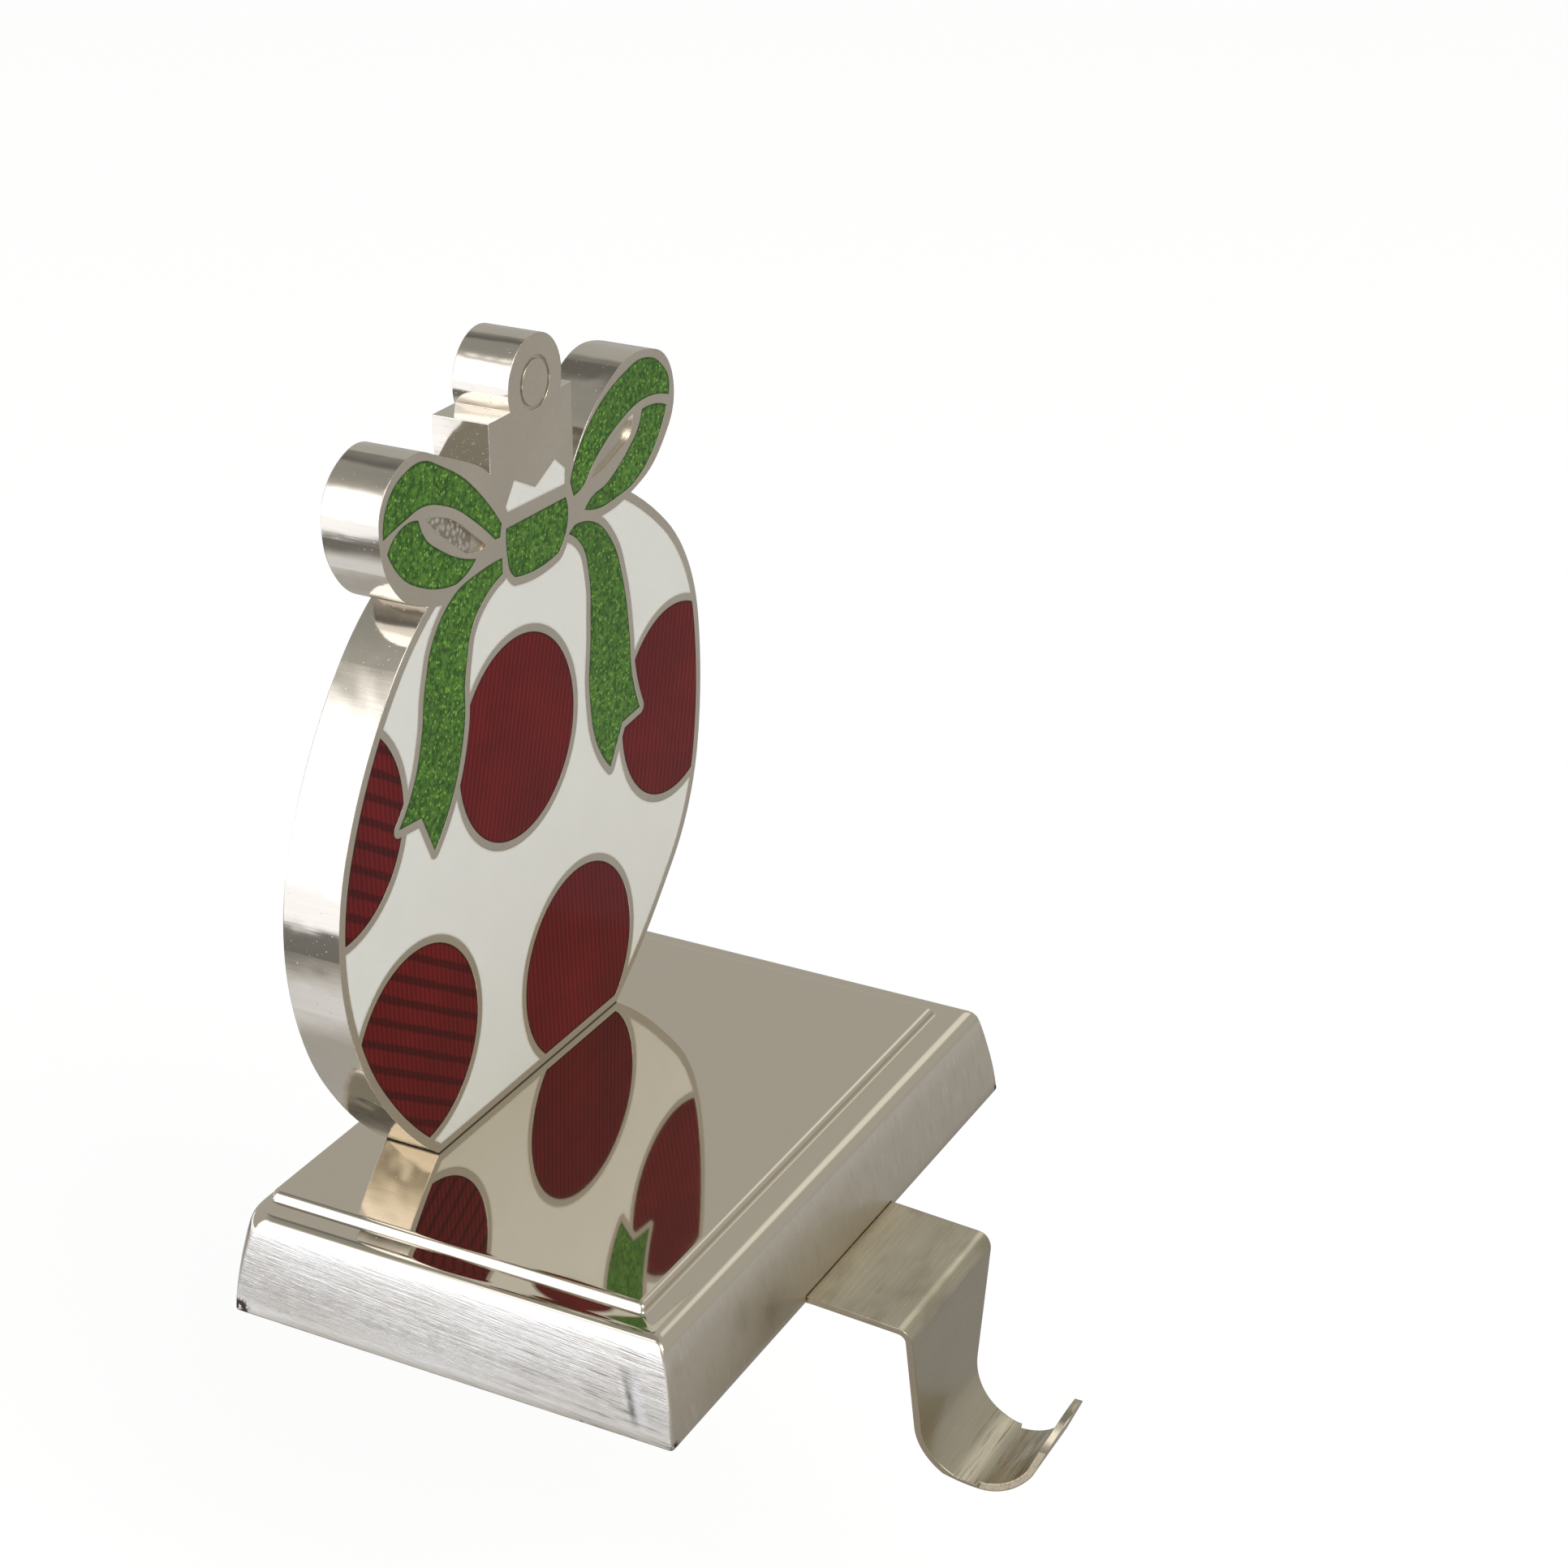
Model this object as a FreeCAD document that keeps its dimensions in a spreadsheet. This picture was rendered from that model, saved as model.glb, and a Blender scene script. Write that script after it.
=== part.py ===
"""Mantel stocking holder: a weighted cast base, an enamelled bauble standing on it, and a strip hook.

Millimetres.  +Z up, -Y towards the room (the hook side), +X to the right seen from the room.
The origin is the middle of the base's underside, on the mantel.
"""
import FreeCAD, Part
import math
import os

import Sketcher

V = FreeCAD.Vector
doc = FreeCAD.newDocument("stocking_holder")

# Driving dimensions
SIZES = {
    "base_width": 98.6, "base_depth": 66.0, "base_height": 15.2,
    "wall_flare": 2.0, "top_shift": 1.6, "shoulder_round": 1.5,
    "ledge_width": 4.6, "ledge_drop": 1.7, "plateau_bevel": 1.0,
    "shell_wall": 3.2, "shell_top": 3.2,
    "pad_thickness": 1.0, "pad_rim": 2.2, "pad_clearance": 0.2,
    "boss_diameter": 9.0, "boss_spacing": 13.0, "boss_setback": 13.0,
    "ballast_thickness": 7.0, "ballast_clearance": 0.4,
    "strip_width": 26.0, "strip_thickness": 1.0, "strip_tail": 24.0, "strip_reach": 14.3,
    "strip_droop": 3.5, "strip_bend": 1.7, "strip_drop": 17.5, "strip_clearance": 0.15,
    "bowl_radius": 8.7, "bowl_width": 14.0, "bowl_shoulder_width": 18.5,
    "lip_rise": 56.0, "lip_flare": 23.0, "lip_length": 9.0, "lip_width": 10.0, "lip_tip_round": 5.0,
    "hook_screw_diameter": 3.0, "hook_screw_head": 5.8, "hook_screw_length": 7.0, "screw_clearance": 0.1,
    "figure_screw_diameter": 4.0, "figure_screw_head": 7.5, "figure_screw_head_height": 2.6,
    "figure_screw_spacing": 26.0, "figure_screw_grip": 8.0, "head_pocket_clearance": 0.8,
    "figure_setback": 8.2, "figure_thickness": 8.4,
    "enamel_depth": 0.9, "cloison": 1.1, "outer_border": 1.3,
    "dot_radius": 14.3, "loop_recess_depth": 0.6,
    "hanger_radius": 6.5, "hanger_rise": 2.3,
    "hanger_ring_radius": 3.1, "hanger_ring_width": 0.5, "hanger_ring_depth": 0.4,
}
sheet = doc.addObject("Spreadsheet::Sheet", "Sizes")
for row, (alias, value) in enumerate(SIZES.items(), start=1):
    sheet.set(f"A{row}", alias)
    sheet.set(f"B{row}", str(value))
    sheet.setAlias(f"B{row}", alias)
doc.recompute()


def size(alias):
    return float(sheet.get(alias))


def bind(thing, **expressions):
    """Bind properties to the sheet: <name> is a cell, and a double underscore stands for a dot."""
    for name, expression in expressions.items():
        thing.setExpression(name.replace("__", "."), expression.replace("<", "Sizes.").replace(">", ""))
    return thing


def box(name, length, width, height, x, y, z):
    return bind(doc.addObject("Part::Box", name), Length=length, Width=width, Height=height,
                Placement__Base__x=x, Placement__Base__y=y, Placement__Base__z=z)


def cylinder(name, radius, height, x, y, z):
    return bind(doc.addObject("Part::Cylinder", name), Radius=radius, Height=height,
                Placement__Base__x=x, Placement__Base__y=y, Placement__Base__z=z)


def cone(name, radius1, radius2, height, x, y, z):
    return bind(doc.addObject("Part::Cone", name), Radius1=radius1, Radius2=radius2, Height=height,
                Placement__Base__x=x, Placement__Base__y=y, Placement__Base__z=z)


def fuse(name, *shapes):
    thing = doc.addObject("Part::MultiFuse", name)
    thing.Shapes = list(shapes)
    return thing


def cut(name, base, tool):
    thing = doc.addObject("Part::Cut", name)
    thing.Base, thing.Tool = base, tool
    return thing


def edge_names(shape, wanted):
    return [f"Edge{i}" for i, edge in enumerate(shape.Edges, start=1) if wanted(edge)]


# Places that several pieces share, as expressions
CEILING = "(<base_height> - <shell_top>)"
BOSS_PLACES = [(f"{side} * <boss_spacing> / 2", "<boss_setback> - <base_depth> / 2") for side in (-1, 1)]
FIGURE_SCREW_PLACES = [(f"{side} * <figure_screw_spacing> / 2",
                        "<base_depth> / 2 - <figure_setback> - <figure_thickness> / 2") for side in (-1, 1)]


# Base shell
def sketch_at(body, name, height, back="0"):
    plane = next(feature for feature in body.Origin.OriginFeatures if feature.Role == "XY_Plane")
    sketch = body.newObject("Sketcher::SketchObject", name)
    sketch.AttachmentSupport = [(plane, "")]
    sketch.MapMode = "FlatFace"
    return bind(sketch, AttachmentOffset__Base__y=back, AttachmentOffset__Base__z=height)


def name_constraint(sketch, constraint, name, expression):
    sketch.renameConstraint(sketch.addConstraint(constraint), name)
    bind(sketch, **{f"Constraints__{name}": expression})


def four_sides(sketch, width, depth):
    """A rectangle about the origin."""
    half_x, half_y = 40.0, 25.0
    corners = [V(-half_x, -half_y, 0), V(half_x, -half_y, 0), V(half_x, half_y, 0), V(-half_x, half_y, 0)]
    for i, start in enumerate(corners):
        end = corners[(i + 1) % 4]
        sketch.addGeometry(Part.LineSegment(start, end))
    for i in range(4):
        sketch.addConstraint(Sketcher.Constraint("Coincident", i, 2, (i + 1) % 4, 1))
    sketch.addConstraint(Sketcher.Constraint("Symmetric", 0, 1, 1, 2, -1, 1))
    sketch.addConstraint(Sketcher.Constraint("Horizontal", 0, 1, 0, 2))
    sketch.addConstraint(Sketcher.Constraint("Vertical", 1, 1, 1, 2))
    sketch.addConstraint(Sketcher.Constraint("Horizontal", 2, 1, 2, 2))
    sketch.addConstraint(Sketcher.Constraint("Vertical", 3, 1, 3, 2))
    name_constraint(sketch, Sketcher.Constraint("DistanceX", 0, 1, 0, 2, 2 * half_x), "across", width)
    name_constraint(sketch, Sketcher.Constraint("DistanceY", 1, 1, 1, 2, 2 * half_y), "deep", depth)
    return sketch


def pocket(body, name, sketch, depth):
    before = body.Tip.Shape.Volume
    feature = body.newObject("PartDesign::Pocket", name)
    feature.Profile = sketch
    feature.Reversed = True
    bind(feature, Length=depth)
    doc.recompute()
    assert feature.Shape.Volume < before - 1.0, f"{name} cuts nothing"


def inset_sides(inset):
    return f"<base_width> - 2 * ({inset})", f"<base_depth> - 2 * ({inset})"


def shell_blank():
    """The cast shell without its bosses and holes: flared walls, ledge, raised plateau and cavity.

    The front wall slopes more than the back one, so the top stands back of the foot.
    """
    body = doc.addObject("PartDesign::Body", "ShellBlank")
    ledge = "<base_height> - <ledge_drop>"
    ledge_z = size("base_height") - size("ledge_drop")
    walls = body.newObject("PartDesign::AdditiveWedge", "Walls")
    walls.Placement = FreeCAD.Placement(V(0, 0, 0), FreeCAD.Rotation(V(1, 0, 0), 90))
    half_x, half_y = "(<base_width> / 2)", "(<base_depth> / 2)"
    bind(walls, Ymin="0", Ymax=ledge, Xmin=f"-{half_x}", Xmax=half_x, Zmin=f"-{half_y}", Zmax=half_y,
         X2min=f"<wall_flare> - {half_x}", X2max=f"{half_x} - <wall_flare>",
         Z2min=f"<wall_flare> - <top_shift> - {half_y}", Z2max=f"{half_y} - <wall_flare> - <top_shift>")
    doc.recompute()

    round_over = body.newObject("PartDesign::Fillet", "CornersAndShoulder")
    round_over.Base = (walls, edge_names(walls.Shape, lambda edge: edge.BoundBox.ZMax > ledge_z - 0.01))
    bind(round_over, Radius="<shoulder_round>")
    doc.recompute()
    assert round_over.Shape.isValid(), "the rounded walls are not valid"

    plateau = body.newObject("PartDesign::Pad", "Plateau")
    plateau.Profile = four_sides(sketch_at(body, "PlateauRim", ledge, "<top_shift>"),
                                 *inset_sides("<wall_flare> + <ledge_width>"))
    bind(plateau, Length="<ledge_drop>")
    doc.recompute()

    top_z = size("base_height")
    bevel = body.newObject("PartDesign::Chamfer", "PlateauBevel")
    bevel.Base = (plateau, edge_names(plateau.Shape, lambda edge: edge.BoundBox.ZMin > top_z - 0.01))
    bind(bevel, Size="<plateau_bevel>")
    doc.recompute()

    pocket(body, "PadRecess", four_sides(sketch_at(body, "PadRecessOutline", "0"),
                                         *inset_sides("<pad_rim>")), "<pad_thickness>")
    pocket(body, "Cavity", four_sides(sketch_at(body, "CavityOutline", "0", "<top_shift>"),
                                      *inset_sides("<wall_flare> + <shell_wall>")), CEILING)
    return body


def hook_screw_hole(name, x, y):
    """A countersunk hole through the strip and into its boss."""
    wide = "(<hook_screw_head> / 2 + 2 * <screw_clearance>)"
    sink = cone(f"{name}Sink", wide, "<hook_screw_diameter> / 2", f"{wide} - <hook_screw_diameter> / 2", x, y, "0")
    deep = "<screw_clearance> + (<hook_screw_head> - <hook_screw_diameter>) / 2 + <hook_screw_length>"
    return fuse(name, sink, cylinder(f"{name}Bore", "<hook_screw_diameter> / 2", deep, x, y, "0"))


def base_shell():
    bosses = [cylinder(f"Boss{i}", "<boss_diameter> / 2", f"{CEILING} - <pad_thickness>", x, y, "<pad_thickness>")
              for i, (x, y) in enumerate(BOSS_PLACES)]
    notch = box("StripNotch", "<strip_width> + 2 * <strip_clearance>", "2 * <pad_rim>",
                "<strip_thickness> + <strip_clearance>", "-<strip_width> / 2 - <strip_clearance>",
                "-<base_depth> / 2 - <strip_thickness>", "0")
    holes = [hook_screw_hole(f"BossHole{i}", x, y) for i, (x, y) in enumerate(BOSS_PLACES)]
    holes += [cylinder(f"TopHole{i}", "<figure_screw_diameter> / 2 + <screw_clearance>", "2 * <shell_top>",
                       x, y, f"{CEILING} - 1") for i, (x, y) in enumerate(FIGURE_SCREW_PLACES)]
    return cut("BaseShell", fuse("ShellWithBosses", shell_blank(), *bosses), fuse("ShellTools", notch, *holes))


def slab(name, inset, thickness, z, back="0"):
    length, width = inset_sides(inset)
    return box(name, length, width, thickness, f"-({length}) / 2", f"{back} - ({width}) / 2", z)


def ballast_plate():
    """A steel plate glued to the shell's ceiling, with room for the bosses and the screw heads."""
    plate = slab("BallastSlab", "<wall_flare> + <shell_wall> + <ballast_clearance>",
                 "<ballast_thickness>", f"{CEILING} - <ballast_thickness>", "<top_shift>")
    bosses = "(<boss_diameter> + 2 * <ballast_clearance>)"
    slots = [box("BallastBossSlot", f"<boss_spacing> + {bosses}", f"<boss_setback> + {bosses} / 2",
                 "<base_height>", f"-(<boss_spacing> + {bosses}) / 2", "-<base_depth> / 2", "0")]
    heads = "(<figure_screw_head> + 2 * <head_pocket_clearance>)"
    slots += [box(f"BallastHeadSlot{i}", heads, heads, "<base_height>",
                  f"{x} - {heads} / 2", f"{y} - {heads} / 2", "0") for i, (x, y) in enumerate(FIGURE_SCREW_PLACES)]
    return cut("BallastPlate", plate, fuse("BallastSlots", *slots))


def base_pad():
    """The underside pad, let into the shell and cut away round the hook strip."""
    sheet_pad = slab("PadSheet", "<pad_rim> + <pad_clearance>", "<pad_thickness>", "0")
    slot = box("PadSlot", "<strip_width> + 2 * <pad_clearance>", "<strip_tail> + <base_depth> + <pad_clearance>",
               "3 * <pad_thickness>", "-<strip_width> / 2 - <pad_clearance>", "-1.5 * <base_depth>",
               "-<pad_thickness>")
    return cut("BasePad", sheet_pad, slot)


def screws(name, places, screw):
    group = doc.addObject("Part::Compound", name)
    group.Links = [screw(f"{name}{i}", x, y) for i, (x, y) in enumerate(places)]
    return group


def hook_screw(name, x, y):
    head_height = "(<hook_screw_head> - <hook_screw_diameter>) / 2"
    head = cone(f"{name}Head", "<hook_screw_head> / 2", "<hook_screw_diameter> / 2", head_height,
                x, y, "<screw_clearance>")
    shank = cylinder(f"{name}Shank", "<hook_screw_diameter> / 2", "<hook_screw_length>",
                     x, y, f"<screw_clearance> + {head_height}")
    return fuse(name, head, shank)


def figure_screw(name, x, y):
    head = cylinder(f"{name}Head", "<figure_screw_head> / 2", "<figure_screw_head_height>",
                    x, y, f"{CEILING} - <figure_screw_head_height>")
    shank = cylinder(f"{name}Shank", "<figure_screw_diameter> / 2", "<shell_top> + <figure_screw_grip>",
                     x, y, CEILING)
    return fuse(name, head, shank)


# Hook strip: its bends lie in the YZ plane, and its width is trimmed to a taper
def hook_path():
    """The middle of the strip's thickness from its tail under the base to the lip's tip."""
    half = size("strip_thickness") / 2
    front = -size("base_depth") / 2
    droop = math.radians(size("strip_droop"))
    drop_y = front - size("strip_reach") - half
    tail = V(0, front + size("strip_tail"), half)
    wall = V(0, front - size("strip_thickness"), half)
    corner = V(0, drop_y, half - (wall.y - drop_y) * math.tan(droop))
    half_turn = (math.pi / 2 - droop) / 2
    trim = size("strip_bend") * math.tan(half_turn)
    before = corner + V(0, math.cos(droop), math.sin(droop)) * trim
    after = corner - V(0, 0, trim)
    inward = (before + after) * 0.5 - corner
    inward.normalize()
    bend_middle = corner + inward * (size("strip_bend") / math.cos(half_turn) - size("strip_bend"))
    radius = size("bowl_radius") - half

    def on_bowl(degrees):
        angle = math.radians(degrees)
        return V(0, drop_y - radius + radius * math.cos(angle), -size("strip_drop") + radius * math.sin(angle))

    lip_start = on_bowl(-90 - size("lip_rise"))
    flare = math.radians(size("lip_flare"))
    tip = lip_start + V(0, -math.sin(flare), math.cos(flare)) * size("lip_length")
    curves = [Part.LineSegment(tail, wall), Part.LineSegment(wall, before), Part.Arc(before, bend_middle, after),
              Part.LineSegment(after, on_bowl(0)), Part.Arc(on_bowl(0), on_bowl(-70), lip_start),
              Part.LineSegment(lip_start, tip)]
    return Part.Wire([curve.toShape() for curve in curves]), on_bowl(-90), tip


def mirrored_face(points, y):
    """A face in an XZ plane whose right half is the given points, from the top down."""
    left = [V(-x, y, z) for x, z in reversed(points)]
    right = [V(x, y, z) for x, z in points]
    return Part.Face(Part.makePolygon(right + left + right[:1]))


def lip_outline(y, deep, tip_z):
    """The tapering front of the bowl and its lip, with a round tip, as a face in an XZ plane."""
    wide, narrow = size("bowl_width") / 2, size("lip_width") / 2
    shoulder_z = tip_z - size("lip_tip_round")
    sides = [V(narrow, y, shoulder_z), V(wide, y, -deep), V(wide, y, -2 * deep),
             V(-wide, y, -2 * deep), V(-wide, y, -deep), V(-narrow, y, shoulder_z)]
    edges = [Part.LineSegment(start, end).toShape() for start, end in zip(sides, sides[1:])]
    edges.append(Part.Arc(sides[-1], V(0, y, tip_z), sides[0]).toShape())
    return Part.Face(Part.Wire(edges))


def hook_strip():
    path, bottom, tip = hook_path()
    half = size("strip_thickness") / 2
    section = path.makeOffset2D(half, 0, False, True).makeOffset2D(-2 * half, 0, True, True)
    strip = section.Faces[0].extrude(V(size("strip_width"), 0, 0))
    strip.translate(V(-size("strip_width") / 2, 0, 0))
    deep = size("strip_drop") + size("bowl_radius")
    drop_outline = [(size("strip_width"), deep), (size("strip_width"), 0), (size("strip_width") / 2, 0),
                    (size("bowl_shoulder_width") / 2, -size("strip_drop")),
                    (size("bowl_width") / 2 + 1, -deep + 1.5), (size("bowl_width") / 2, -deep),
                    (size("bowl_width") / 2, -2 * deep)]
    behind = mirrored_face(drop_outline, bottom.y).extrude(V(0, 2 * size("base_depth"), 0))
    before = lip_outline(bottom.y, deep, tip.z).extrude(V(0, -size("base_depth"), 0))
    return strip.common(behind.fuse(before)).removeSplitter()


# Figure: outlines in its front plane, u to the right and v up from the plateau
def circle_tangent(before, here, after):
    """Unit tangent at the middle point of the circle through three points."""
    back, on = here - before, after - here
    tangent = back * (on.Length / back.Length) + on * (back.Length / on.Length)
    return tangent.normalize()


def tangents(points):
    inner = [circle_tangent(*points[i - 1:i + 2]) for i in range(1, len(points) - 1)]

    def mirrored(tangent, chord):
        return (chord * (2 * tangent.dot(chord) / chord.dot(chord)) - tangent).normalize()

    first = mirrored(inner[0], points[1] - points[0])
    last = mirrored(inner[-1], points[-1] - points[-2])
    return [first, *inner, last]


def arc_from(start, tangent, end):
    """An arc, or a straight edge, that leaves its start along a tangent."""
    chord = end - start
    angle = tangent.getAngle(chord)
    if angle < 0.01:
        return Part.LineSegment(start, end).toShape()
    side = V(-chord.y, chord.x, 0).normalize()
    rise = chord.Length / 2 * math.tan(angle / 2) * (1 if side.dot(tangent) > 0 else -1)
    return Part.Arc(start, (start + end) * 0.5 + side * rise, end).toShape()


def smooth_edges(points):
    """Pairs of tangent arcs that pass smoothly through the points."""
    edges = []
    along = tangents(points)
    for start, end, leave, arrive in zip(points, points[1:], along, along[1:]):
        chord, both = end - start, leave + arrive
        spread = 2 * (1 - leave.dot(arrive))
        lean = chord.dot(both)
        if spread < 1e-6:
            reach = chord.dot(chord) / (2 * lean)
        else:
            reach = (math.sqrt(lean ** 2 + spread * chord.dot(chord)) - lean) / spread
        joint = (start + leave * reach + end - arrive * reach) * 0.5
        edges += [arc_from(start, leave, joint), arc_from(end, -arrive, joint)]
    return edges


def outline(*runs):
    """A face bounded by runs of points: two points make a straight edge, more make a smooth run of arcs."""
    edges = []
    for run in runs:
        points = [V(u, v, 0) for u, v in run]
        edges += [Part.LineSegment(*points).toShape()] if len(points) == 2 else smooth_edges(points)
    return Part.Face(Part.Wire(Part.__sortEdges__(edges)))


def disc(u, v, radius):
    return Part.Face(Part.Wire(Part.makeCircle(radius, V(u, v, 0))))


BALL = outline([(-24.5, 0), (22.5, 0)],
               [(22.5, 0), (35, 10.5), (44.2, 21.5), (48.8, 42), (45.6, 60.8), (31, 75.6), (5, 83.5),
                (-20, 77.8), (-35, 63), (-43.9, 38), (-40.6, 21.3), (-33.8, 9.8), (-24.5, 0)])
LEFT_LOOP = outline([(0, 78), (-4, 88.3), (-15, 95.1), (-24, 97.6), (-29.8, 93.3), (-30.5, 88.3), (-27, 80.8),
                     (-19, 76.8), (-8, 76), (0, 77)], [(0, 77), (0, 78)])
RIGHT_LOOP = outline([(10, 78), (13.5, 83.8), (21.5, 92.1), (33, 95.8), (40.5, 92.3), (42, 87.3), (37.5, 80),
                      (28, 76.1), (20, 75.6), (10, 77)], [(10, 77), (10, 78)])
CAP_TOP = 96.6
CAP = outline([(-5.5, 80), (14.7, 80)], [(14.7, 80), (14.7, CAP_TOP)], [(14.7, CAP_TOP), (-5.5, CAP_TOP)],
              [(-5.5, CAP_TOP), (-5.5, 80)])
HANGER_MIDDLE = (5.8, CAP_TOP + size("hanger_rise"))

GREEN = {
    "left_loop_upper": outline([(-29.7, 89), (-28.5, 93.3), (-22.5, 96.4), (-14.5, 93.3), (-6, 86), (-3.3, 82.6)],
                               [(-3.3, 82.6), (-3.8, 80.9)], [(-3.8, 80.9), (-5, 81)],
                               [(-5, 81), (-9, 84.5), (-15, 88.6), (-21, 90.5), (-25.5, 89.9), (-29.7, 89)]),
    "left_loop_lower": outline([(-29, 87), (-26.8, 88.9), (-22, 89.1)],
                               [(-22, 89.1), (-21, 86.8), (-17, 83.4), (-9.5, 79.9)],
                               [(-9.5, 79.9), (-11, 79), (-14.5, 78.1)],
                               [(-14.5, 78.1), (-21, 79.8), (-26.5, 83.3), (-29, 87)]),
    "knot": outline([(-2.3, 81.6), (12.5, 81.2)], [(12.5, 81.2), (13, 79.3), (12, 75.8), (10.3, 74.1)],
                    [(10.3, 74.1), (5, 73.6), (-0.5, 74.3)],
                    [(-0.5, 74.3), (-1.6, 75.4), (-2.3, 78), (-2.3, 81.6)]),
    "right_loop_upper": outline([(13.7, 83), (15, 85.4), (21, 90.9), (28, 93.8), (33, 94.6), (38, 92.8),
                                 (40.7, 88.8), (40.5, 87.4)],
                                [(40.5, 87.4), (33, 88.7), (26, 87), (20, 83.8), (16.5, 81.1), (14.5, 80.7)],
                                [(14.5, 80.7), (13.7, 83)]),
    "right_loop_lower": outline([(39.8, 86.1), (37, 81.8), (31, 77.8), (25, 76.9), (21, 76.9), (17.2, 77.9)],
                                [(17.2, 77.9), (18, 78.5), (24, 80.1), (29, 82.8), (32, 85.3), (33, 87.4)],
                                [(33, 87.4), (37, 87.1), (39.8, 86.1)]),
    "left_tail": outline([(-3.5, 78), (-3.5, 75.8)],
                         [(-3.5, 75.8), (-7.5, 74.3), (-11, 71.3), (-13, 65.8), (-14, 57.8), (-17, 50.3), (-22, 44.1)],
                         [(-22, 44.1), (-24.6, 49.8)], [(-24.6, 49.8), (-29.7, 50.3)],
                         [(-29.7, 50.3), (-25.8, 55.3), (-23.7, 60.8), (-22.5, 66.8), (-20, 72.8), (-15.5, 76.6),
                          (-8, 78), (-3.5, 78)]),
    "right_tail": outline([(13, 75.8), (14.5, 76.6)],
                          [(14.5, 76.6), (20, 75.2), (24.5, 70.8), (27.2, 63.8), (28.5, 55.8), (28.8, 50.8), (31, 43.8)],
                          [(31, 43.8), (26, 43.3)], [(26, 43.3), (22.5, 37.8)],
                          [(22.5, 37.8), (18.7, 43.3), (17.3, 50.8), (18, 60.8), (18, 67.8), (16.5, 72.8), (13, 75.8)]),
}
DOTS = {"top": (-1.3, 51.8), "right": (40.2, 41.6), "left": (-42.7, 54), "lower_left": (-28, 17.8),
        "lower_right": (12.6, 11.8)}
CAP_NOTCH = outline([(-2.3, 84.5), (0, 87.5)], [(0, 87.5), (5, 85)], [(5, 85), (10, 87.3)],
                    [(10, 87.3), (12.5, 85.3)], [(12.5, 85.3), (12.3, 83.1)], [(12.3, 83.1), (-1.8, 83.7)],
                    [(-1.8, 83.7), (-2.3, 84.5)])
LOOP_RECESSES = [
    outline([(-20.5, 88.8), (-15, 87), (-10, 83.3), (-7, 80.8)], [(-7, 80.8), (-10.5, 81), (-15, 83.8), (-20.5, 88.8)]),
    outline([(19, 81.6), (25, 85.6), (30.5, 87.5)], [(30.5, 87.5), (30, 85.4), (25, 82.8), (19, 81.6)]),
]


def grown(face, amount):
    """The face with its border moved out, round at its corners."""
    return face.makeOffset2D(amount, 0)


def joined(faces):
    first, *rest = faces
    return first.multiFuse(rest) if rest else first


def cells():
    """Every enamel cell's face by node name."""
    wall = size("cloison")
    field = BALL.makeOffset2D(-size("outer_border"), 0)
    tails = [grown(GREEN["left_tail"], wall), grown(GREEN["right_tail"], wall)]
    found = {f"green_{name}": face for name, face in GREEN.items()}
    for name, (u, v) in DOTS.items():
        found[f"red_dot_{name}"] = disc(u, v, size("dot_radius")).common(field).cut(joined(tails))
    rings = [disc(u, v, size("dot_radius") + wall) for u, v in DOTS.values()]
    bow = [LEFT_LOOP, RIGHT_LOOP, CAP, grown(GREEN["knot"], wall)]
    white = field.cut(joined(tails + rings + bow))
    pieces = sorted((face for face in white.Faces if face.Area > 20), key=lambda face: face.CenterOfMass.x)
    left, main, right = pieces
    found.update(white_left_sliver=left, white_field=main, white_right_cell=right, white_cap_notch=CAP_NOTCH)
    return found


def backward(face, depth, start=0.0):
    solid = face.extrude(V(0, 0, -depth))
    solid.translate(V(0, 0, -start))
    return solid


def figure_placement():
    """The figure's back stands figure_setback in from the back edge of the base's foot."""
    front = size("base_depth") / 2 - size("figure_setback") - size("figure_thickness")
    return FreeCAD.Placement(V(0, front, size("base_height")), FreeCAD.Rotation(V(1, 0, 0), 90))


def figure_casting(cell_faces):
    silhouette = [BALL, LEFT_LOOP, RIGHT_LOOP, CAP, disc(*HANGER_MIDDLE, size("hanger_radius"))]
    casting = joined([backward(face, size("figure_thickness")) for face in silhouette]).removeSplitter()
    cuts = [backward(face, size("enamel_depth")) for face in cell_faces]
    cuts += [backward(face, size("loop_recess_depth")) for face in LOOP_RECESSES]
    ring = disc(*HANGER_MIDDLE, size("hanger_ring_radius") + size("hanger_ring_width"))
    cuts.append(backward(ring.cut(disc(*HANGER_MIDDLE, size("hanger_ring_radius"))), size("hanger_ring_depth")))
    for side in (-1, 1):
        bore = Part.makeCylinder(size("figure_screw_diameter") / 2, size("figure_screw_grip"),
                                 V(side * size("figure_screw_spacing") / 2, 0, -size("figure_thickness") / 2),
                                 V(0, 1, 0))
        cuts.append(bore)
    for tool in cuts:
        casting = casting.cut(tool)
    return casting


def add_feature(label, shape, placement=None):
    feature = doc.addObject("Part::Feature", "".join(word.title() for word in label.split("_")))
    feature.Shape = shape
    feature.Placement = placement or FreeCAD.Placement()
    feature.Label = label
    return feature


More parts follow.
